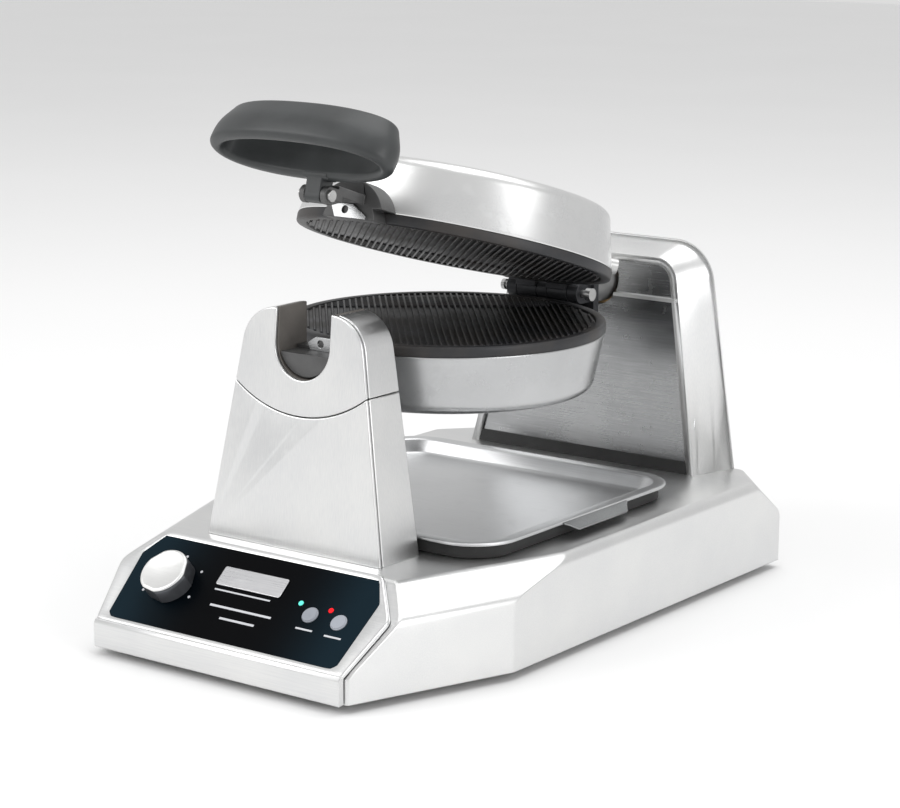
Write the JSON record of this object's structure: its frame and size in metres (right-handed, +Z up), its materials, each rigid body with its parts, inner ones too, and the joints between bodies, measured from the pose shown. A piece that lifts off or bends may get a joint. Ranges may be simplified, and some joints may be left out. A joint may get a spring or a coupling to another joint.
{
  "type": "rotary waffle cone maker",
  "caption": "Rotary waffle maker: a round heated head with a hinged lid turns end over end between two towers on a flat base with a sloped control panel and a drip tray.",
  "frame": {"origin": "on the table, under the middle of the base", "axes": "+X to the right seen from the controls, +Y from the controls to the back, +Z up"},
  "size_m": [0.2674, 0.4209, 0.3337],
  "materials": {
    "satin_steel": "satin",
    "polished_steel": "polished",
    "plain_steel": "plain",
    "rubber": "matt",
    "panel_film": "semi-gloss",
    "badge": "brushed",
    "print": "printed",
    "green_lens": "lens",
    "red_lens": "lens",
    "dark_plastic": "moulded",
    "pale_plastic": "moulded",
    "board_green": "board",
    "bronze": "sintered",
    "element": "heat-stained",
    "baking_black": "non-stick",
    "cast_grey": "as cast",
    "cast_dark": "as cast",
    "knob_side": "moulded",
    "knob_face": "spun",
    "button_grey": "moulded"
  },
  "bodies": {
    "base": {"base_housing": "satin_steel", "bottom_plate": "plain_steel", "feet": "rubber", "foot_screws": "plain_steel", "control_fascia": "satin_steel", "panel_overlay": "panel_film", "badge_plate": "badge", "panel_marks": "print", "power_lamp": "green_lens", "ready_lamp": "red_lens", "browning_control": "dark_plastic", "control_board": "board_green", "switch_bodies": "dark_plastic", "relay": "dark_plastic", "terminal_block": "pale_plastic", "cord_gland": "dark_plastic", "rating_plate": "plain_steel", "tower_front_lower": "satin_steel", "tower_front_upper": "satin_steel", "tower_wrap": "satin_steel", "tower_cap": "satin_steel", "neck_saddle": "dark_plastic", "saddle_pedestal": "plain_steel", "rear_plate": "polished_steel", "rear_cover": "satin_steel", "bearing_pedestal": "plain_steel", "bearing_bush": "bronze", "turn_stop": "plain_steel", "tower_screws": "plain_steel"},
    "head": {"lower_shell": "satin_steel", "lower_plate": "baking_black", "lower_element": "element", "lower_shield": "plain_steel", "lower_sensor": "plain_steel", "lower_screws": "plain_steel", "lower_neck": "cast_grey", "lower_latch": "polished_steel", "hinge_yoke": "cast_dark", "hub_shaft": "plain_steel", "retaining_ring": "plain_steel", "hinge_pin": "plain_steel"},
    "lid": {"upper_shell": "satin_steel", "upper_plate": "baking_black", "upper_element": "element", "upper_shield": "plain_steel", "upper_screws": "plain_steel", "hinge_arm": "cast_dark", "side_studs": "plain_steel", "upper_neck": "cast_grey", "upper_latch": "polished_steel", "handle_pin": "plain_steel"},
    "handle": {"handle_loop": "dark_plastic"},
    "knob": {"knob_skirt": "knob_side", "knob_cap": "knob_face"},
    "power_button": {"power_button": "button_grey"},
    "timer_button": {"timer_button": "button_grey"},
    "tray": {"drip_tray": "polished_steel"}
  },
  "joints": [
    {"name": "head_turn", "type": "hinge", "parent": "base", "child": "head", "pos_m": [0, 0.0144, 0.1858], "axis": [0, 1, 0], "range_deg": [0, 90]},
    {"name": "lid_open", "type": "hinge", "parent": "head", "child": "lid", "pos_m": [0, 0.1261, 0.1858], "axis": [-1, 0, 0], "range_deg": [-17.8, 55]},
    {"name": "handle_fold", "type": "hinge", "parent": "lid", "child": "handle", "pos_m": [0, -0.11325, 0.27315], "axis": [1, 0, 0], "range_deg": [0, 100]},
    {"name": "knob_turn", "type": "hinge", "parent": "base", "child": "knob", "pos_m": [-0.0555, -0.18201, 0.04468], "axis": [0, -0.6401, 0.7683], "range_deg": [-135, 135]},
    {"name": "power_press", "type": "slide", "parent": "base", "child": "power_button", "axis": [0, 0.6401, -0.7683], "range_m": [0, 0.0015], "stiffness_N_per_m": 700},
    {"name": "timer_press", "type": "slide", "parent": "base", "child": "timer_button", "axis": [0, 0.6401, -0.7683], "range_m": [0, 0.0015], "stiffness_N_per_m": 700},
    {"name": "tray_slide", "type": "slide", "parent": "base", "child": "tray", "axis": [1, 0, 0], "range_m": [0, 0.235]}
  ]
}
